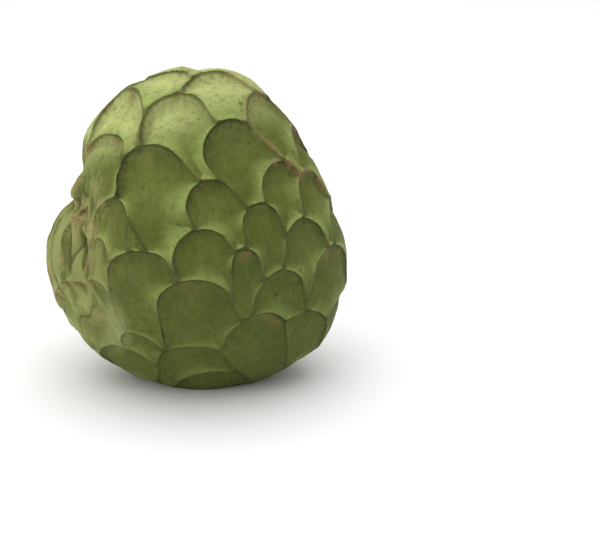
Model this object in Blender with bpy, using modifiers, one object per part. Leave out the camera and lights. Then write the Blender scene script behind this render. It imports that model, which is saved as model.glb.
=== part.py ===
"""A whole custard apple (cherimoya), as picked, standing on its broad stem end.

Metres, +Z up. The origin is on the surface it stands on, under the middle of its outline. -Y is the front.
The fruit is one solid: a smooth lobed body, with the shallow hollow of one areole after another pressed into it,
like thumb marks in wax. Each areole has an arched upper edge that points to the apex, and its lower edge is cut
by the arches of the areoles below it. The cut stalk is a second piece, set in the hollow under the fruit.
"""

import math

import bmesh
import bpy
import numpy as np
from mathutils import Matrix, Vector

MM = 0.001
DEGREE = math.pi / 180.0

# Driving dimensions.
CORE_HEIGHT = 43.9 * MM  # from the surface it stands on to the point the body is measured from
BODY_RADIUS = 37.5 * MM
RIDGE_HEIGHT = 0.6 * MM  # of the edges between areoles, above the smooth body
AREOLE_DEPTH = 3.0 * MM
WALL_WIDTH = 1.5 * MM  # run of the step under an areole's arch
EDGE_BLEND = 1.2 * MM  # rounding where the arches below an areole meet
SKIN_DETAIL = 7  # icosphere subdivisions, before the mesh is thinned
KEPT_SHARE = 0.08  # share of the icosphere's triangles that is kept
STALK_RADIUS = 3.6 * MM
STALK_LENGTH = 8.0 * MM
STALK_SOCKET = 2.5 * MM  # depth that the stalk is set into the flesh
CLEARANCE = 0.3 * MM
FLOOR_BLOCK = 0.2  # side of the block that cuts the flat spot
SKIN_COLOUR = (0.185, 0.235, 0.062, 1.0)
STALK_COLOUR = (0.115, 0.072, 0.036, 1.0)

# Swellings and hollows of the body: azimuth and elevation of the middle (degrees; azimuth 0 is the front and
# 90 the right), angular width (degrees) and height (millimetres).
LOBES = (
    (145, 80, 36, 12.7),  # the dome at the apex
    (-88, 68, 12, 3.0),  # corner on its left
    (-105, 46, 20, 5.0),  # upper left shoulder
    (-100, 20, 12, -4.8),  # waist under it
    (-95, -3, 25, 6.0),  # left lobe
    (-80, -36, 24, 7.3),
    (-60, -55, 22, 2.5),
    (-110, -70, 19, 3.0),  # left of the base
    (0, -74, 27, 7.0),  # front of the base
    (180, -71, 27, 8.5),  # back of the base
    (76, -46, 28, 10.0),  # right of the base
    (88, -12, 30, 6.5),  # right lobe
    (100, 35, 24, 1.5),
    (180, 0, 45, 3.0),
    (0, 0, 45, 3.0),
    (-68, 20, 7, -3.0),  # furrow between the front and the left lobe, from the waist down
    (-60, 4, 6, -3.5),
    (-58, -14, 6, -3.5),
    (-54, -32, 8, -3.5),
    (-50, -10, 6, 1.5),  # fold beside it
    (30, -89, 11.0, -18.0),  # hollow round the stalk
)
APEX = (-150, 68)  # azimuth and elevation of the end that the areoles point to
STALK = (40, -86)
STALK_RIM = 18  # degrees from the stalk to where the last areoles end

# Areoles of the front: azimuth, elevation, half width, height of the arch and lean to the right, in degrees.
FRONT_AREOLES = (
    (-78, 76, 12, 7, -10),  # around the apex
    (35, 76, 13, 11, -25),
    (-74, 56, 13.5, 14, -3),  # upper row
    (-19, 64, 14, 13, -18),
    (26, 51, 13.5, 12, -34),
    (71, 54, 14.5, 14, -30),
    (-70, 46, 12, 6, -3),  # middle
    (-22, 36, 16, 21, -31),
    (7.5, 29.5, 10.5, 10, -22),
    (50, 31, 13, 11, -16),
    (30, 20, 9, 7.5, -8),
    (-63, 13, 6, 9, 4),
    (-42, 20, 9, 9, 4),
    (2, 9, 11.5, 10, -18),
    (20, 4, 6, 6.5, -6),
    (-46, 4, 6.5, 7, 10),
    (-26, 1, 14.5, 8, -7),  # lower
    (-48, -16, 7, 9, 8),
    (-2, -12, 14.5, 11, -8),
    (37, -13, 12, 11, -8),
    (-32, -39, 9, 8, 5),
    (-4, -44, 13, 8, -2),
    (29, -33, 13, 13, -4),
    (-86, 8, 14, 14, 0),  # left lobe
    (-66, 4, 8, 11, 4),
    (-66, -25, 12, 12, 4),
)
TAIL_LENGTH = 6  # how far down an areole reaches, in heights of its arch
# The rest follow the golden-angle spiral of the flower that the fruit grew from.
SPIRAL_COUNT = 78
SPIRAL_HALF_WIDTH = 13.0
SPIRAL_ARCH = 12.0
SPIRAL_CLEARANCE = 11.0  # degrees kept from a front areole, beyond half of its half width
SETTLING_ROUNDS = 40
SETTLING_REACH = 0.28
SETTLING_STEP = 0.02


def direction(azimuth, elevation):
    """Unit vectors for angles in degrees."""
    azimuth = np.asarray(azimuth, float) * DEGREE
    elevation = np.asarray(elevation, float) * DEGREE
    flat = np.cos(elevation)
    return np.stack([flat * np.sin(azimuth), -flat * np.cos(azimuth), np.sin(elevation)], -1)


def unit(vectors):
    return vectors / np.linalg.norm(vectors, axis=-1, keepdims=True)


def body_radius(ways):
    """Distance from the core to the smooth body along each unit vector."""
    radius = np.full(len(ways), BODY_RADIUS)
    for azimuth, elevation, width, height in LOBES:
        away = np.arccos(np.clip(ways @ direction(azimuth, elevation), -1, 1))
        radius += height * MM * np.exp(-((away / (width * DEGREE)) ** 2))
    return radius


def towards_apex(ways):
    """Unit tangents that run from the stalk to the apex, like the field between two poles."""
    pull = direction(*APEX) - ways
    push = direction(*STALK) - ways
    run = pull / (pull**2).sum(-1, keepdims=True) - push / (push**2).sum(-1, keepdims=True)
    return unit(run - (run * ways).sum(-1, keepdims=True) * ways)


def spiral_ways(count):
    """Evenly spaced unit vectors on a golden-angle spiral from the apex."""
    steps = np.arange(count) + 0.5
    along = 1 - 2 * steps / count
    turn = steps * math.pi * (3 - math.sqrt(5))
    off = np.sqrt(1 - along**2)
    axis = direction(*APEX)
    side = unit(np.cross([0.0, 1.0, 0.0], axis))
    local = np.stack([off * np.cos(turn), off * np.sin(turn), along], -1)
    return local @ np.stack([side, np.cross(axis, side), axis])


def settled(ways, fixed):
    """Moves the spiral's points a little apart, and away from the fixed ones."""
    for _ in range(SETTLING_ROUNDS):
        away = ways[:, None] - np.concatenate([fixed, ways])[None]
        weight = np.exp(-((away**2).sum(-1) / SETTLING_REACH**2))
        ways = unit(ways + SETTLING_STEP * (away * weight[..., None]).sum(1))
    return ways


class Areoles:
    """Where each areole is, which way it points and how large it is."""

    def __init__(self):
        front = np.array(FRONT_AREOLES, float)
        fixed = direction(front[:, 0], front[:, 1])
        spiral = spiral_ways(SPIRAL_COUNT)
        gap = np.arccos(np.clip(spiral @ fixed.T, -1, 1)) / DEGREE
        spiral = settled(spiral[(gap > front[:, 2] / 2 + SPIRAL_CLEARANCE).all(1)], fixed)
        more = len(spiral)
        self.middle = np.concatenate([fixed, spiral])
        self.half_width = np.append(front[:, 2], np.full(more, SPIRAL_HALF_WIDTH)) * DEGREE
        self.arch = np.append(front[:, 3], np.full(more, SPIRAL_ARCH)) * DEGREE
        lean = np.append(front[:, 4], np.zeros(more))[:, None] * DEGREE
        up = towards_apex(self.middle)
        right = np.cross(up, self.middle)
        self.up = up * np.cos(lean) + right * np.sin(lean)
        self.right = right * np.cos(lean) - up * np.sin(lean)
        self.from_apex = np.arccos(np.clip(self.middle @ direction(*APEX), -1, 1))
        to_stalk = np.arccos(np.clip(self.middle @ direction(*STALK), -1, 1))
        self.tail = np.sin(np.minimum(np.minimum(TAIL_LENGTH * self.arch, to_stalk), 80 * DEGREE))

    def relief(self, ways):
        """Height of the skin over the smooth body along each unit vector, from the areoles' ramps and steps."""
        away = ways[:, None] - self.middle
        across = (away * self.right).sum(-1) / self.half_width
        along = (away * self.up).sum(-1) / self.arch
        above = np.hypot(across, np.maximum(along, 0))
        fan = 1 + 0.1 * np.clip(-along, 0, 4)
        below = np.maximum(np.abs(across) / fan, -along * self.arch / self.tail)
        out = np.where(along > 0, above, below)
        out = np.where(ways @ self.middle.T < 0.1, 9.0, out)
        size = (self.half_width + self.arch) / 2 * (BODY_RADIUS + 6 * MM)

        # A point belongs to the areole nearest the stalk that reaches it.
        rank = np.where(out < 1, self.from_apex, -1.0)
        own = np.where((out < 1).any(1), rank.argmax(1), out.argmin(1))
        row = np.arange(len(ways))
        inside = np.maximum((1 - out[row, own]) * size[own], 0)
        lower = self.from_apex > self.from_apex[own][:, None]
        gap = np.where(lower, (out - 1) * size, 1.0)
        nearest = gap.min(1)
        blend = np.exp(-(gap - nearest[:, None]) / EDGE_BLEND).sum(1)
        gap = np.maximum(nearest - EDGE_BLEND * np.log(blend), 0)
        to_stalk = np.arccos(np.clip(ways @ direction(*STALK), -1, 1)) - STALK_RIM * DEGREE
        gap = np.minimum(gap, np.maximum(to_stalk, 0) * BODY_RADIUS)

        # A small step under the arch, deepest a third of the way down, and level with the edge at the arches
        # below. The walls of wide areoles are low, and the relief fades towards the stalk.
        share = gap / (inside + gap + 1e-9)
        wall = 1 - np.clip(1 - inside / WALL_WIDTH, 0, 1) ** 2
        slope = 1 - np.clip(1 - (1 - share) / 0.35, 0, 1) ** 2
        narrow = 0.2 + 0.5 * ramp((10.5 - self.half_width[own] / DEGREE) / 3)
        side = narrow + (1 - narrow) * ramp((along[row, own] + 0.7) / 1.2)
        depth = AREOLE_DEPTH * np.clip(size[own] / (8.5 * MM), 0.4, 1.0)
        depth *= 1 - 0.45 * ramp((self.from_apex[own] / DEGREE - 65) / 45)
        return RIDGE_HEIGHT - depth * side * (0.3 * wall + 0.9 * slope) * share**1.15


def ramp(value):
    """Rises smoothly from 0 to 1 as the value does."""
    value = np.clip(value, 0, 1)
    return value * value * (3 - 2 * value)


def clear_scene():
    for thing in list(bpy.data.objects):
        bpy.data.objects.remove(thing, do_unlink=True)


def new_collection(name):
    collection = bpy.data.collections.new(name)
    bpy.context.scene.collection.children.link(collection)
    return collection


def new_object(name, shape, collection):
    mesh = bpy.data.meshes.new(name)
    shape.to_mesh(mesh)
    shape.free()
    thing = bpy.data.objects.new(name, mesh)
    collection.objects.link(thing)
    return thing


def new_material(name, colour, roughness):
    material = bpy.data.materials.new(name)
    material.use_nodes = True
    surface = material.node_tree.nodes["Principled BSDF"]
    surface.inputs["Base Color"].default_value = colour
    surface.inputs["Roughness"].default_value = roughness
    surface.inputs["Metallic"].default_value = 0.0
    return material


def cut(thing, cutter, name):
    boolean = thing.modifiers.new(name, "BOOLEAN")
    boolean.operation = "DIFFERENCE"
    boolean.solver = "EXACT"
    boolean.object = cutter


def set_cutter(thing):
    thing.hide_render = True
    thing.display_type = "WIRE"


def stalk_frame(shift):
    """Matrix that takes +Z to the stalk's way out of the fruit, with its origin on the hollow's floor."""
    way = direction(*STALK)
    reach = body_radius(way[None])[0] + RIDGE_HEIGHT
    place = Matrix.Translation(Vector(way * reach) + Vector((0, 0, CORE_HEIGHT)) + shift)
    return place @ Vector(way).to_track_quat("Z", "Y").to_matrix().to_4x4()


def stalk_shape(radius, low, high, flare):
    """A round bar along Z from low to high, wider at its low end by the flare."""
    shape = bmesh.new()
    bmesh.ops.create_cone(
        shape,
        cap_ends=True,
        segments=20,
        radius1=radius + flare,
        radius2=radius,
        depth=high - low,
        matrix=Matrix.Translation((0, 0, (high + low) / 2)),
    )
    return shape


def build_fruit(collection):
    """The fruit's one solid, standing on z = 0, and the shift that centres its outline."""
    shape = bmesh.new()
    bmesh.ops.create_icosphere(shape, subdivisions=SKIN_DETAIL, radius=1.0)
    ways = unit(np.array([vert.co[:] for vert in shape.verts]))
    reach = body_radius(ways) + Areoles().relief(ways)
    places = ways * reach[:, None] + (0, 0, CORE_HEIGHT)
    middle = (places.min(0) + places.max(0)) / 2
    shift = Vector((-middle[0], -middle[1], 0))
    for vert, place in zip(shape.verts, places):
        vert.co = Vector(place) + shift
    fruit = new_object("fruit", shape, collection)
    fruit.data.shade_smooth()
    thin = fruit.modifiers.new("thin", "DECIMATE")
    thin.ratio = KEPT_SHARE
    return fruit, shift


def main():
    clear_scene()
    parts = new_collection("custard_apple")
    cutters = new_collection("cutters")

    fruit, shift = build_fruit(parts)
    fruit.data.materials.append(new_material("skin", SKIN_COLOUR, 0.55))

    block = bmesh.new()
    bmesh.ops.create_cube(block, size=FLOOR_BLOCK, matrix=Matrix.Translation((0, 0, -FLOOR_BLOCK / 2)))
    floor = new_object("floor_cutter", block, cutters)
    set_cutter(floor)
    cut(fruit, floor, "flat spot")

    frame = stalk_frame(shift)
    hole = stalk_shape(STALK_RADIUS + CLEARANCE, -STALK_SOCKET - CLEARANCE, 2 * STALK_LENGTH, 0.4 * MM)
    socket = new_object("socket_cutter", hole, cutters)
    socket.matrix_world = frame
    set_cutter(socket)
    cut(fruit, socket, "stalk socket")

    bar = stalk_shape(STALK_RADIUS, -STALK_SOCKET, STALK_LENGTH - STALK_SOCKET, 0.4 * MM)
    stalk = new_object("stem_stub", bar, parts)
    stalk.matrix_world = frame
    stalk.data.materials.append(new_material("bark", STALK_COLOUR, 0.8))
    rounding = stalk.modifiers.new("rounding", "BEVEL")
    rounding.width = 0.5 * MM
    rounding.segments = 2
    stalk.data.shade_smooth()


main()
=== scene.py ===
"""The whole custard apple, in full surface detail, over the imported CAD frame. Metres, +Z up.

The skin is worked out again from the form in the CAD model, on a much finer mesh. The distances to the edges
of the areoles go with the mesh as attributes, and the skin's material is built from them.
"""
import math

import bmesh
import bpy
import numpy as np
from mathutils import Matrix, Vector, noise


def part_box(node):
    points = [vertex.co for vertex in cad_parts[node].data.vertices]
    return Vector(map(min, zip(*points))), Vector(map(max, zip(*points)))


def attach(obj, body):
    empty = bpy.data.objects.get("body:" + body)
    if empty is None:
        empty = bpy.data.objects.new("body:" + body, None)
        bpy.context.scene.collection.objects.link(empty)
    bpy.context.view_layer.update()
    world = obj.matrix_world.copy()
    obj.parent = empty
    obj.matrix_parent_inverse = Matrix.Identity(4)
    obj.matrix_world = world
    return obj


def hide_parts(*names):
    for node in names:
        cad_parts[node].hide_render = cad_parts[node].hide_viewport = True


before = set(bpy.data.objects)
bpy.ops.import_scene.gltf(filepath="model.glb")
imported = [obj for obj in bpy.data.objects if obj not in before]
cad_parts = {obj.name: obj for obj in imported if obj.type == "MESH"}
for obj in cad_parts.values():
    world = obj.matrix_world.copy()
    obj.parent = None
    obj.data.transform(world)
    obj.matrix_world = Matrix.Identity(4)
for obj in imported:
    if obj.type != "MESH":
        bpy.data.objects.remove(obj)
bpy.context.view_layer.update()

MM = 0.001
DEGREE = math.pi / 180

# ---------------------------------------------------------------- the CAD model's form, with sharper edges
# Directions are an azimuth and an elevation in degrees. Azimuth 0 is the front, and 90 is the right.
CORE_HEIGHT = 43.9 * MM  # from the floor to the point that the body is measured from
BODY_RADIUS = 37.5 * MM
RIDGE_HEIGHT = 0.6 * MM  # of the edges between areoles, above the smooth body
AREOLE_DEPTH = 3.0 * MM
WALL_WIDTH = 1.1 * MM  # run of the step under an areole's arch
EDGE_BLEND = 1.0 * MM  # rounding where the arches below an areole meet

# Swellings and hollows of the body: azimuth, elevation, angular width and height in millimetres.
LOBES = (
    (145, 80, 36, 12.7),  # the dome at the apex
    (-88, 68, 12, 3.0),  # corner on its left
    (-105, 46, 20, 5.0),  # upper left shoulder
    (-100, 20, 12, -4.8),  # waist under it
    (-95, -3, 25, 6.0),  # left lobe
    (-80, -36, 24, 7.3),
    (-60, -55, 22, 2.5),
    (-110, -70, 19, 3.0),  # left of the base
    (0, -74, 27, 7.0),  # front of the base
    (180, -71, 27, 8.5),  # back of the base
    (76, -46, 28, 10.0),  # right of the base
    (88, -12, 30, 6.5),  # right lobe
    (100, 35, 24, 1.5),
    (180, 0, 45, 3.0),
    (0, 0, 45, 3.0),
    (-68, 20, 7, -3.0),  # furrow between the front and the left lobe, from the waist down
    (-60, 4, 6, -3.5),
    (-58, -14, 6, -3.5),
    (-54, -32, 8, -3.5),
    (-50, -10, 6, 1.5),  # fold beside it
    (30, -89, 11.0, -18.0),  # hollow round the stalk
)
APEX = (-150, 68)  # the end that the areoles point to
STALK = (40, -86)
STALK_RIM = 18  # degrees from the stalk to where the last areoles end

# Areoles of the front: azimuth, elevation, half width, height of the arch and lean to the right, in degrees.
FRONT_AREOLES = (
    (-78, 76, 12, 7, -10),  # around the apex
    (35, 76, 13, 11, -25),
    (-74, 56, 13.5, 14, -3),  # upper row
    (-19, 64, 14, 13, -18),
    (26, 51, 13.5, 12, -34),
    (71, 54, 14.5, 14, -30),
    (-70, 46, 12, 6, -3),  # middle
    (-22, 36, 16, 21, -31),
    (7.5, 29.5, 10.5, 10, -22),
    (50, 31, 13, 11, -16),
    (30, 20, 9, 7.5, -8),
    (-63, 13, 6, 9, 4),
    (-42, 20, 9, 9, 4),
    (2, 9, 11.5, 10, -18),
    (20, 4, 6, 6.5, -6),
    (-46, 4, 6.5, 7, 10),
    (-26, 1, 14.5, 8, -7),  # lower
    (-48, -16, 7, 9, 8),
    (-2, -12, 14.5, 11, -8),
    (37, -13, 12, 11, -8),
    (-32, -39, 9, 8, 5),
    (-4, -44, 13, 8, -2),
    (29, -33, 13, 13, -4),
    (-86, 8, 14, 14, 0),  # left lobe
    (-66, 4, 8, 11, 4),
    (-66, -25, 12, 12, 4),
)
TAIL_LENGTH = 6  # how far down an areole reaches, in heights of its arch

# The rest follow the golden-angle spiral of the flower that the fruit grew from.
SPIRAL_COUNT = 78
SPIRAL_HALF_WIDTH = 13.0
SPIRAL_ARCH = 12.0
SPIRAL_CLEARANCE = 11.0  # degrees kept from a front areole, beyond half of its half width
SETTLING_ROUNDS = 40
SETTLING_REACH = 0.28
SETTLING_STEP = 0.02

# ---------------------------------------------------------------- detail that only the visual model has
SKIN_CELLS = 122  # cells along each edge of the cube that the skin starts from
NEAR_RANGE = 2.5 * MM  # reach of the zones on each side of the edge of an areole
EDGE_WANDER = 0.011  # radians, about the most that the edges wander from their arcs
SNAP_REACH = 0.24 * MM  # mesh points this near an edge are moved onto it
SNAP_NUDGE = 0.0005  # radians between the two points that a slope is taken from
LIP_HEIGHT = 0.10 * MM
LIP_WIDTH = 0.8 * MM
BROAD_LUMPS = 0.22 * MM
SMALL_LUMPS = 0.10 * MM
FOLD_HEIGHT = 1.1 * MM  # of the folds of the left lobe, which run up and down
FOLD_SCALE = (9.0, 9.0, 1.4)
CREASE_DEPTH = 0.6 * MM
CREASE_WIDTH = 0.10  # share of the height of the folds


def direction(azimuth, elevation):
    """Unit vectors for angles in degrees."""
    azimuth = np.asarray(azimuth, float) * DEGREE
    elevation = np.asarray(elevation, float) * DEGREE
    flat = np.cos(elevation)
    return np.stack([flat * np.sin(azimuth), -flat * np.cos(azimuth), np.sin(elevation)], -1)


def unit(vectors):
    return vectors / np.linalg.norm(vectors, axis=-1, keepdims=True)


def ramp(value):
    """Rises smoothly from 0 to 1 as the value does."""
    value = np.clip(value, 0, 1)
    return value * value * (3 - 2 * value)


def angle(ways, pole):
    """Radians from each unit vector to a direction."""
    return np.arccos(np.clip(ways @ direction(*pole), -1, 1))


def body_radius(ways):
    """Distance from the core to the smooth body along each unit vector."""
    radius = np.full(len(ways), BODY_RADIUS)
    for azimuth, elevation, width, height in LOBES:
        radius += height * MM * np.exp(-((angle(ways, (azimuth, elevation)) / (width * DEGREE)) ** 2))
    return radius


def towards_apex(ways):
    """Unit tangents that run from the stalk to the apex, like the field between two poles."""
    pull = direction(*APEX) - ways
    push = direction(*STALK) - ways
    run = pull / (pull**2).sum(-1, keepdims=True) - push / (push**2).sum(-1, keepdims=True)
    return unit(run - (run * ways).sum(-1, keepdims=True) * ways)


def spiral_ways(count):
    """Evenly spaced unit vectors on a golden-angle spiral from the apex."""
    steps = np.arange(count) + 0.5
    along = 1 - 2 * steps / count
    turn = steps * math.pi * (3 - math.sqrt(5))
    off = np.sqrt(1 - along**2)
    axis = direction(*APEX)
    side = unit(np.cross([0.0, 1.0, 0.0], axis))
    local = np.stack([off * np.cos(turn), off * np.sin(turn), along], -1)
    return local @ np.stack([side, np.cross(axis, side), axis])


def settled(ways, fixed):
    """Moves the spiral's points a little apart, and away from the fixed ones."""
    for _ in range(SETTLING_ROUNDS):
        away = ways[:, None] - np.concatenate([fixed, ways])[None]
        weight = np.exp(-((away**2).sum(-1) / SETTLING_REACH**2))
        ways = unit(ways + SETTLING_STEP * (away * weight[..., None]).sum(1))
    return ways


class Areoles:
    """Where each areole is, and the fields that the areoles give the skin."""

    def __init__(self):
        front = np.array(FRONT_AREOLES, float)
        fixed = direction(front[:, 0], front[:, 1])
        spiral = spiral_ways(SPIRAL_COUNT)
        gap = np.arccos(np.clip(spiral @ fixed.T, -1, 1)) / DEGREE
        spiral = settled(spiral[(gap > front[:, 2] / 2 + SPIRAL_CLEARANCE).all(1)], fixed)
        more = len(spiral)
        self.middle = np.concatenate([fixed, spiral])
        self.half_width = np.append(front[:, 2], np.full(more, SPIRAL_HALF_WIDTH)) * DEGREE
        self.arch = np.append(front[:, 3], np.full(more, SPIRAL_ARCH)) * DEGREE
        lean = np.append(front[:, 4], np.zeros(more))[:, None] * DEGREE
        up = towards_apex(self.middle)
        right = np.cross(up, self.middle)
        self.up = up * np.cos(lean) + right * np.sin(lean)
        self.right = right * np.cos(lean) - up * np.sin(lean)
        self.from_apex = angle(self.middle, APEX)
        to_stalk = angle(self.middle, STALK)
        self.tail = np.sin(np.minimum(np.minimum(TAIL_LENGTH * self.arch, to_stalk), 80 * DEGREE))

    def fields(self, ways):
        """Relief (m), signed distance to the edge (m), share of the way down the areole, and crown.

        The distance is above 0 under an arch and below 0 over one. Crown is 0 beside an areole, 1 at its top.
        """
        away = ways[:, None] - self.middle
        across = (away * self.right).sum(-1) / self.half_width
        along = (away * self.up).sum(-1) / self.arch
        above = np.hypot(across, np.maximum(along, 0))
        fan = 1 + 0.1 * np.clip(-along, 0, 4)
        below = np.maximum(np.abs(across) / fan, -along * self.arch / self.tail)
        out = np.where(along > 0, above, below)
        out = np.where(ways @ self.middle.T < 0.1, 9.0, out)
        size = (self.half_width + self.arch) / 2 * (BODY_RADIUS + 6 * MM)

        # A point belongs to the areole nearest the stalk that reaches it.
        rank = np.where(out < 1, self.from_apex, -1.0)
        own = np.where((out < 1).any(1), rank.argmax(1), out.argmin(1))
        row = np.arange(len(ways))
        depth_in = (1 - out[row, own]) * size[own]
        inside = np.maximum(depth_in, 0)
        lower = self.from_apex > self.from_apex[own][:, None]
        gap = np.where(lower, (out - 1) * size, 1.0)
        nearest = gap.min(1)
        next_down = gap.argmin(1)
        blend = np.exp(-(gap - nearest[:, None]) / EDGE_BLEND).sum(1)
        gap = np.maximum(nearest - EDGE_BLEND * np.log(blend), 0)
        to_rim = angle(ways, STALK) - STALK_RIM * DEGREE
        gap = np.minimum(gap, np.maximum(to_rim, 0) * BODY_RADIUS)

        # A small step under the arch, deepest a third of the way down, and level with the edge at the arches
        # below. The sides of wide areoles are low, and the relief fades towards the stalk.
        share = gap / (inside + gap + 1e-9)
        wall = 1 - np.clip(1 - inside / WALL_WIDTH, 0, 1) ** 2
        slope = 1 - np.clip(1 - (1 - share) / 0.35, 0, 1) ** 2
        narrow = 0.2 + 0.5 * ramp((10.5 - self.half_width[own] / DEGREE) / 3)
        side = narrow + (1 - narrow) * ramp((along[row, own] + 0.7) / 1.2)
        depth = AREOLE_DEPTH * np.clip(size[own] / (8.5 * MM), 0.4, 1.0)
        depth *= 1 - 0.45 * ramp((self.from_apex[own] / DEGREE - 65) / 45)
        relief = RIDGE_HEIGHT - depth * side * (0.3 * wall + 0.9 * slope) * share**1.15
        crown = ramp((np.where(inside < gap, along[row, own], along[row, next_down]) + 0.3) / 1.0)
        edge = np.where(depth_in < gap, depth_in, -gap)
        down = np.where(depth_in < 0, 1.0, 1 - share)
        return relief, edge, down, crown


def in_parts(function, ways, size=12000):
    """Calls the function on a few points at a time, and joins what it returns."""
    parts = [function(ways[start : start + size]) for start in range(0, len(ways), size)]
    return [np.concatenate(column) for column in zip(*parts)]


def noise_at(points, scale, seed=0.0):
    """Smooth noise from -1 to 1 at each point."""
    offset = Vector((seed, 2.3 * seed, -1.7 * seed))
    return np.array([noise.noise(Vector(p) * scale + offset) for p in points])


def cube_sphere(cells):
    """Unit vectors and quads of a sphere whose cells are nearly equal."""
    shape = bmesh.new()
    bmesh.ops.create_cube(shape, size=2.0)
    bmesh.ops.subdivide_edges(shape, edges=shape.edges, cuts=cells - 1, use_grid_fill=True)
    mesh = bpy.data.meshes.new("skin")
    shape.to_mesh(mesh)
    shape.free()
    flat = np.empty(len(mesh.vertices) * 3)
    mesh.vertices.foreach_get("co", flat)
    return mesh, unit(np.tan(flat.reshape(-1, 3) * math.pi / 4))


def add_field(mesh, name, values):
    """A vector attribute on the points of a mesh."""
    field = mesh.attributes.new(name, "FLOAT_VECTOR", "POINT")
    field.data.foreach_set("vector", values.astype(np.float32).ravel())


def edge_distance(areoles, ways):
    return in_parts(areoles.fields, ways)[1]


def snapped(areoles, ways):
    """Moves the points that are near the edge of an areole onto it, so that the mesh's edges follow it."""
    close = edge_distance(areoles, ways)
    near = np.abs(close) < SNAP_REACH
    close = close[near]
    some = ways[near]
    side = unit(np.cross(some, [0.31, 0.52, 0.80]))
    sides = (side, np.cross(some, side))
    slopes = [(edge_distance(areoles, unit(some + SNAP_NUDGE * s)) - close) / SNAP_NUDGE for s in sides]
    steep = slopes[0] ** 2 + slopes[1] ** 2
    uphill = sum(s * slope[:, None] for s, slope in zip(sides, slopes))
    move = uphill * (close / (steep + 1e-9))[:, None]
    short = np.linalg.norm(move, axis=1) < 1.5 * SNAP_REACH / BODY_RADIUS
    good = short & (steep > (0.3 * BODY_RADIUS) ** 2)
    some[good] -= move[good]
    ways[near] = unit(some)
    return ways


def eased(mesh, values, rounds=2):
    """Evens out values on the points of a mesh with those of their neighbours."""
    pairs = np.empty(len(mesh.edges) * 2, int)
    mesh.edges.foreach_get("vertices", pairs)
    first, second = pairs.reshape(-1, 2).T
    here, there = np.append(first, second), np.append(second, first)
    count = np.bincount(here)
    for _ in range(rounds):
        values = (values + np.bincount(here, values[there]) / count) / 2
    return values


def build_skin():
    mesh, ways = cube_sphere(SKIN_CELLS)
    areoles = Areoles()

    # The edges of real areoles wander a little.
    wander = np.stack([noise_at(ways, 5.0, seed) for seed in (3.0, 11.0, 19.0)], -1)
    bend = EDGE_WANDER * wander
    looked_up = snapped(areoles, unit(ways + bend))
    ways = unit(looked_up - bend)
    relief, edge, down, crown = in_parts(areoles.fields, looked_up)

    # A thin lip stands on the edge above each arch, the skin is a little lumpy, and the left lobe has folds.
    lip = LIP_HEIGHT * np.exp(np.minimum(edge, 0) / LIP_WIDTH)
    lumps = BROAD_LUMPS * noise_at(ways, 9.0, 5.0) + SMALL_LUMPS * noise_at(ways, 22.0, 7.0)
    left = ramp((-ways[:, 0] - 0.55) / 0.3) * ramp((0.75 - ways[:, 2]) / 0.3)
    fold = noise_at(ways * FOLD_SCALE, 1.0, 13.0)
    crease = left * np.exp(-((fold / CREASE_WIDTH) ** 2))
    lumps += FOLD_HEIGHT * left * fold - CREASE_DEPTH * crease
    reach = body_radius(ways) + eased(mesh, relief + lip) + lumps

    # The flat spot is at z = 0.
    floor = np.where(ways[:, 2] < -0.2, CORE_HEIGHT / np.maximum(-ways[:, 2], 0.1), 1.0)
    reach = np.minimum(reach, floor)
    places = ways * reach[:, None] + (0, 0, CORE_HEIGHT)

    # The lip and the lumps add a little, so the skin is drawn in to the size of the CAD fruit.
    low, high = np.array(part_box("fruit")[0]), np.array(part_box("fruit")[1])
    draw_in = np.minimum((high - low) / (places.max(0) - places.min(0)), 1)
    places *= draw_in
    shift = (low + high) / 2 - (places.min(0) + places.max(0)) / 2
    shift[2] = 0
    places += shift
    mesh.vertices.foreach_set("co", places.ravel())

    # Zones beside the edges, as points on a circle, so that they run on smoothly over each edge.
    near = math.pi * np.clip(edge / NEAR_RANGE, -1, 1)
    far = 2 * math.pi * down
    add_field(mesh, "near", np.stack([np.cos(near), np.sin(near), crown], -1))
    add_field(mesh, "far", np.stack([np.cos(far), np.sin(far), np.zeros_like(far)], -1))
    add_field(mesh, "fold", np.stack([fold, crease, left], -1))
    add_field(mesh, "way", ways)

    # The grain runs from the apex to the stalk: a place round the apex, and radians from it.
    apex = direction(*APEX)
    first = unit(np.cross(apex, [0.0, 1.0, 0.0]))
    second = np.cross(apex, first)
    from_apex = angle(ways, APEX)
    ring = unit(np.stack([ways @ first, ways @ second], -1) + 1e-9)
    add_field(mesh, "grain", np.concatenate([ring * np.sin(from_apex)[:, None], from_apex[:, None]], -1))

    mesh.shade_smooth()
    skin = bpy.data.objects.new("fruit_skin", mesh)
    bpy.context.scene.collection.objects.link(skin)
    return skin, shift


# ---------------------------------------------------------------- materials
# Linear colours, from the apex down and then from broad to fine.
PALE_GREEN = (0.445, 0.485, 0.180, 1)
# MID and LOW green are partly the skin's own tone and partly painted shade away from the apex.
MID_GREEN_AND_SHADE = (0.098, 0.122, 0.021, 1)
LOW_GREEN_AND_SHADE = (0.088, 0.113, 0.023, 1)
# Painted light on the upward-facing flange over each arch.
PAINTED_LIGHT_FLANGE_GREEN = (0.29, 0.38, 0.105, 1)
SHADED_GREEN = (0.055, 0.075, 0.014, 1)
OLIVE = (0.16, 0.155, 0.036, 1)
STREAK_GREEN = (0.22, 0.25, 0.07, 1)
MOTTLE_GREEN = (0.050, 0.062, 0.013, 1)
RUST = (0.19, 0.145, 0.045, 1)
# Painted shade in the crease between areoles.
CREASE_SHADE_GREEN = (0.020, 0.030, 0.008, 1)
CORK = (0.25, 0.185, 0.075, 1)
STRAW = (0.27, 0.285, 0.098, 1)
FOLD_TAN = (0.26, 0.185, 0.080, 1)
# Painted shade in the creases of the left lobe's folds.
FOLD_CREASE_SHADE_GREEN = (0.050, 0.055, 0.014, 1)
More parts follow.
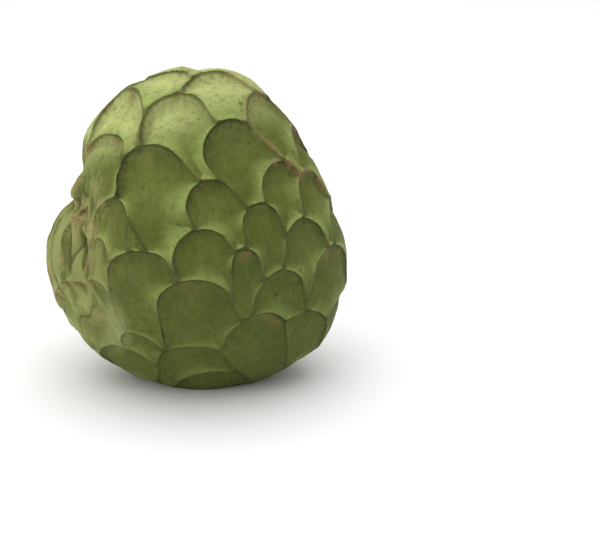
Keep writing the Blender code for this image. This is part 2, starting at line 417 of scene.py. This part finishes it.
# Partly the skin's paler tone and partly painted light on a ridge beside the left lobe.
STRIP_GREEN_AND_LIGHT = (0.27, 0.295, 0.115, 1)
SPECK_BROWN = (0.05, 0.035, 0.015, 1)
SCAR_BROWN = (0.050, 0.045, 0.018, 1)
GRIT_GREEN = (0.035, 0.045, 0.012, 1)
DARK_BARK = (0.055, 0.033, 0.016, 1)
PALE_BARK = (0.19, 0.125, 0.065, 1)
LICHEN = (0.16, 0.16, 0.075, 1)


class Nodes:
    """Short ways to add and join shader nodes."""

    def __init__(self, name):
        self.material = bpy.data.materials.new(name)
        self.material.use_nodes = True
        self.tree = self.material.node_tree
        self.surface = self.tree.nodes["Principled BSDF"]

    def put(self, value, socket):
        if isinstance(value, bpy.types.NodeSocket):
            self.tree.links.new(value, socket)
        elif value is not None:
            socket.default_value = value

    def add(self, kind, inputs=None, **settings):
        node = self.tree.nodes.new("ShaderNode" + kind)
        for name, value in settings.items():
            setattr(node, name, value)
        for name, value in (inputs or {}).items():
            self.put(value, node.inputs[name])
        return node

    def field(self, name):
        return self.add("Attribute", attribute_name=name).outputs["Vector"]

    def split(self, vector):
        return self.add("SeparateXYZ", {0: vector}).outputs

    def math(self, operation, first, second=None):
        return self.add("Math", {0: first, 1: second}, operation=operation).outputs[0]

    def times(self, first, *others):
        for other in others:
            first = self.math("MULTIPLY", first, other)
        return first

    def noise(self, vector, scale, detail=3.0, rough=0.55):
        inputs = {"Vector": vector, "Scale": scale, "Detail": detail, "Roughness": rough}
        return self.add("TexNoise", inputs).outputs["Fac"]

    def distance(self, vector, place):
        return self.add("VectorMath", {0: vector, 1: place}, operation="DISTANCE").outputs["Value"]

    def stretch(self, vector, scale):
        return self.add("Mapping", {"Vector": vector, "Scale": scale}).outputs[0]

    def step(self, value, low, high, start=0.0, end=1.0):
        """Goes smoothly from start to end as the value goes from low to high."""
        inputs = {"Value": value, "From Min": low, "From Max": high, "To Min": start, "To Max": end}
        return self.add("MapRange", inputs, interpolation_type="SMOOTHSTEP").outputs[0]

    def mix(self, share, first, second):
        node = self.tree.nodes.new("ShaderNodeMix")
        node.data_type = "RGBA"
        self.put(share, node.inputs[0])
        self.put(first, node.inputs[6])
        self.put(second, node.inputs[7])
        return node.outputs[2]

    def bump(self, height, strength, distance, normal=None):
        inputs = {"Height": height, "Strength": strength, "Distance": distance, "Normal": normal}
        return self.add("Bump", inputs).outputs[0]


class SkinZones:
    """Sockets that the skin's colours share: where a point is on its areole and on the fruit, and noises."""

    def __init__(self, n):
        near = n.split(n.field("near"))
        far = n.split(n.field("far"))
        self.crown = near[2]
        # Signed distance from the edge in millimetres: above 0 under an arch, below 0 on the flange over one.
        self.edge = n.times(n.math("ARCTAN2", near[1], near[0]), NEAR_RANGE / MM / math.pi)
        # Share of the way down an areole, from 0 under its arch to 1 at the arches below.
        turn = n.math("DIVIDE", n.math("ARCTAN2", far[1], far[0]), 2 * math.pi)
        self.down = n.math("FRACT", n.math("ADD", turn, 1.0))
        self.fold, self.crease, self.left = n.split(n.field("fold"))
        self.grain = n.field("grain")
        self.from_apex = n.split(self.grain)[2]
        self.way = n.field("way")
        self.x, _, self.z = n.split(self.way)
        self.streaks = n.noise(n.stretch(self.grain, (30.0, 30.0, 2.6)), 1.0, 4.0, 0.6)
        self.cloud = n.noise(self.way, 4.0, 5.0, 0.6)
        self.mottle = n.noise(self.way, 22.0, 4.0, 0.65)
        self.pores = n.noise(self.way, 160.0, 2.0, 0.5)


def areole_colour(n, zones):
    """Green, paler towards the apex and darker away from it, partly the skin's tone and partly painted shade,
    with painted shade under each arch and painted light on the flange over the next one.
    """
    down, from_apex = zones.down, zones.from_apex
    # Paler towards the apex and darker away from it: partly the skin's tone, partly painted shade.
    green = n.mix(n.step(from_apex, 0.60, 1.00), PALE_GREEN, MID_GREEN_AND_SHADE)
    green = n.mix(n.step(from_apex, 1.2, 2.0), green, LOW_GREEN_AND_SHADE)
    # Painted light: the flange over the next arch faces up and is painted paler.
    flange = n.times(n.step(down, 0.50, 1.0), zones.crown, n.step(from_apex, 1.7, 2.3, 0.92, 0.45))
    green = n.mix(flange, green, PAINTED_LIGHT_FLANGE_GREEN)
    shaded = n.times(n.step(down, 0.0, 0.65, 0.55, 0.0), n.step(from_apex, 0.4, 0.9, 0.35, 1.0))
    green = n.mix(shaded, green, SHADED_GREEN)
    green = n.mix(n.step(zones.cloud, 0.35, 0.7, 0.0, 0.30), green, OLIVE)
    green = n.mix(n.step(zones.streaks, 0.4, 0.75, 0.0, 0.18), green, STREAK_GREEN)
    green = n.mix(n.step(zones.mottle, 0.45, 0.75, 0.0, 0.45), green, MOTTLE_GREEN)
    patch = n.times(n.step(n.noise(zones.way, 5.5, 4.0, 0.6), 0.50, 0.64), n.step(down, 0.0, 0.6, 0.65, 0.0))
    return n.mix(n.times(patch, zones.crown), green, RUST)


def with_crease_shade(n, zones, green):
    """Adds painted shade as a dark line in the crease between areoles, strongest at the top of an arch, where
    the step faces down.
    """
    line = n.times(
        n.step(zones.edge, -0.25, 0.05),
        n.step(zones.edge, 0.15, 0.8, 1.0, 0.0),
        n.step(zones.cloud, 0.25, 0.6, 0.95, 0.7),
        n.step(zones.crown, 0.0, 0.8, 0.45, 1.0),
        0.9,
    )
    return n.mix(line, green, CREASE_SHADE_GREEN)


def with_cork(n, zones, green):
    """Adds corky scuffs on the ridges, most on the left lobe and on the upper right."""
    upper_right = n.step(n.math("ADD", zones.x, zones.z), 1.05, 1.35, 0.0, 0.8)
    worn = n.math("ADD", n.step(zones.x, -0.55, -0.85), upper_right)
    worn = n.times(n.math("ADD", worn, 0.12), n.step(n.noise(zones.way, 9.0, 4.0, 0.6), 0.40, 0.60))
    ridge = n.times(n.step(zones.edge, -2.2, -0.2), n.step(zones.edge, 0.0, 1.2, 1.0, 0.0))
    return n.mix(n.times(ridge, worn), green, CORK)


def with_left_lobe(n, zones, green):
    """Adds the left lobe's straw streaks, tan folds and painted shade in its creases, and the pale strip
    beside it, partly its tone and partly painted light on a ridge.
    """
    left = zones.left
    soft = n.noise(n.stretch(zones.grain, (11.0, 11.0, 2.2)), 1.0, 4.0, 0.6)
    straw = n.times(left, n.step(soft, 0.42, 0.60, 0.10, 0.80))
    straw = n.math("ADD", straw, n.times(left, n.step(zones.z, -0.25, -0.50, 0.0, 0.35)))
    green = n.mix(straw, green, STRAW)
    rough = n.step(n.noise(zones.way, 14.0, 4.0, 0.6), 0.40, 0.60)
    green = n.mix(n.times(left, n.step(zones.fold, 0.14, 0.42), rough, 0.8), green, FOLD_TAN)
    # Painted shade in the folds' creases.
    green = n.mix(n.step(zones.crease, 0.30, 1.0, 0.0, 0.70), green, FOLD_CREASE_SHADE_GREEN)
    # Pale strip: partly the skin's tone, partly painted light on a ridge that the mesh doesn't raise.
    from_strip = n.distance(n.stretch(zones.way, (2.2, 1.0, 0.8)), (-1.32, -0.62, -0.40))
    strip = n.times(n.step(from_strip, 0.10, 0.34, 0.75, 0.0), n.step(zones.streaks, 0.35, 0.60, 0.7, 1.0))
    return n.mix(strip, green, STRIP_GREEN_AND_LIGHT)


def with_blemishes(n, zones, green):
    """Adds a few brown specks, scars under the tops of the arches, and fine dark grit."""
    dots = n.add("TexVoronoi", {"Vector": zones.way, "Scale": 5.0}, feature="F1").outputs["Distance"]
    speck = n.times(n.step(dots, 0.05, 0.12, 1.0, 0.0), n.step(zones.mottle, 0.44, 0.54), 0.7)
    green = n.mix(speck, green, SPECK_BROWN)
    scar = n.times(
        n.step(zones.edge, 0.2, 2.4, 1.0, 0.0),
        n.step(zones.edge, -0.2, 0.2),
        n.step(n.noise(zones.way, 34.0, 4.0, 0.7), 0.48, 0.62, 0.0, 0.8),
        n.step(zones.from_apex, 0.5, 1.0, 0.25, 1.0),
        zones.crown,
    )
    green = n.mix(scar, green, SCAR_BROWN)
    gritty = n.step(n.noise(zones.way, 7.0), 0.42, 0.62, 0.15, 0.60)
    return n.mix(n.times(n.step(zones.pores, 0.56, 0.72), gritty), green, GRIT_GREEN)


def skin_normal(n, zones):
    """A groove in each crease, and the grain, fibres and pores of the skin."""
    groove = n.times(n.step(zones.edge, -0.2, 0.15), n.step(zones.edge, 0.3, 0.9, 1.0, 0.0), -1.0)
    fibres = n.noise(n.stretch(zones.grain, (110.0, 110.0, 9.0)), 1.0, 3.0, 0.6)
    normal = n.bump(groove, 0.6, 0.4 * MM)
    normal = n.bump(zones.streaks, 0.35, 0.6 * MM, normal)
    normal = n.bump(fibres, 0.25, 0.25 * MM, normal)
    return n.bump(zones.pores, 0.20, 0.12 * MM, normal)


def skin_material():
    n = Nodes("custard_apple_skin")
    zones = SkinZones(n)
    green = areole_colour(n, zones)
    green = with_crease_shade(n, zones, green)
    green = with_cork(n, zones, green)
    green = with_left_lobe(n, zones, green)
    green = with_blemishes(n, zones, green)
    n.put(green, n.surface.inputs["Base Color"])
    n.put(n.step(zones.mottle, 0.3, 0.8, 0.50, 0.64), n.surface.inputs["Roughness"])
    n.surface.inputs["Specular IOR Level"].default_value = 0.07
    n.surface.inputs["Subsurface Weight"].default_value = 0.08
    n.surface.inputs["Subsurface Radius"].default_value = (0.6, 1.0, 0.25)
    n.surface.inputs["Subsurface Scale"].default_value = 2 * MM
    n.put(skin_normal(n, zones), n.surface.inputs["Normal"])
    return n.material


def bark_material():
    n = Nodes("stalk_bark")
    place = n.add("TexCoord").outputs["Object"]
    fibre = n.noise(n.stretch(place, (900.0, 900.0, 140.0)), 1.0, 4.0, 0.6)
    patch = n.noise(place, 420.0, 3.0)
    brown = n.mix(n.step(fibre, 0.35, 0.65), DARK_BARK, PALE_BARK)
    brown = n.mix(n.step(patch, 0.5, 0.7, 0.0, 0.5), brown, LICHEN)
    n.put(brown, n.surface.inputs["Base Color"])
    n.surface.inputs["Roughness"].default_value = 0.82
    n.put(n.bump(fibre, 0.7, 0.5 * MM), n.surface.inputs["Normal"])
    return n.material


def floor_material():
    n = Nodes("floor_white")
    n.surface.inputs["Base Color"].default_value = (0.88, 0.88, 0.88, 1)
    n.surface.inputs["Roughness"].default_value = 0.9
    return n.material


# ---------------------------------------------------------------- stage, light and camera
FLOOR_REACH = 3.0  # half of the floor's side
LENS = 110.0
CAMERA_PLACE = (0.0, -526.89, 171.2)  # from the core, in millimetres
CAMERA_AIM = (31.15, -4.73, -11.3)  # from the core, in millimetres
LIGHT_AIM = (0, 0, 0.05)

# Name, place, sides and power in watts.
LIGHTS = (
    ("key", (-0.02, 0.08, 0.75), (1.1, 1.1), 4.8),
    ("side", (-0.9, -0.15, 0.14), (0.5, 0.2), 2.6),
)

HORIZON_STRENGTH = 0.46
OVERHEAD_STRENGTH = 0.98


def add_floor():
    mesh = bpy.data.meshes.new("floor")
    corners = [(x * FLOOR_REACH, y * FLOOR_REACH, 0) for x, y in ((-1, -1), (1, -1), (1, 1), (-1, 1))]
    mesh.from_pydata(corners, [], [(0, 1, 2, 3)])
    floor = bpy.data.objects.new("floor", mesh)
    bpy.context.scene.collection.objects.link(floor)
    mesh.materials.append(floor_material())


def add_area_light(name, place, sides, power):
    lamp = bpy.data.lights.new(name, "AREA")
    lamp.shape = "RECTANGLE"
    lamp.size, lamp.size_y = sides
    lamp.energy = power
    light = bpy.data.objects.new(name, lamp)
    light.location = place
    light.rotation_euler = (Vector(LIGHT_AIM) - Vector(place)).to_track_quat("-Z", "Y").to_euler()
    bpy.context.scene.collection.objects.link(light)


def add_world():
    """A plain white studio that is brighter overhead than at the horizon."""
    world = bpy.data.worlds.new("studio")
    world.use_nodes = True
    tree = world.node_tree
    place = tree.nodes.new("ShaderNodeTexCoord")
    split = tree.nodes.new("ShaderNodeSeparateXYZ")
    strength = tree.nodes.new("ShaderNodeMapRange")
    strength.inputs["From Min"].default_value = 0.0
    strength.inputs["From Max"].default_value = 1.0
    strength.inputs["To Min"].default_value = HORIZON_STRENGTH
    strength.inputs["To Max"].default_value = OVERHEAD_STRENGTH
    tree.links.new(place.outputs["Generated"], split.inputs[0])
    tree.links.new(split.outputs["Z"], strength.inputs["Value"])
    tree.links.new(strength.outputs[0], tree.nodes["Background"].inputs["Strength"])
    tree.nodes["Background"].inputs["Color"].default_value = (1, 1, 1, 1)
    bpy.context.scene.world = world


def add_camera(core):
    """Looks from 18 degrees above the horizon, with the fruit to the left of the middle."""
    data = bpy.data.cameras.new("camera")
    data.sensor_width = 36.0
    data.lens = LENS
    data.clip_start = 0.01
    camera = bpy.data.objects.new("camera", data)
    camera.location = core + Vector(CAMERA_PLACE) * MM
    aim = core + Vector(CAMERA_AIM) * MM
    camera.rotation_euler = (aim - camera.location).to_track_quat("-Z", "Y").to_euler()
    bpy.context.scene.collection.objects.link(camera)
    bpy.context.scene.camera = camera


skin, shift = build_skin()
skin.data.materials.append(skin_material())
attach(skin, "root")
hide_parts("fruit")

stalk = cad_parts["stem_stub"]
stalk.data.materials.clear()
stalk.data.materials.append(bark_material())

add_floor()
add_world()
for light in LIGHTS:
    add_area_light(*light)
add_camera(Vector((shift[0], shift[1], CORE_HEIGHT)))
bpy.context.scene.view_settings.view_transform = "Standard"
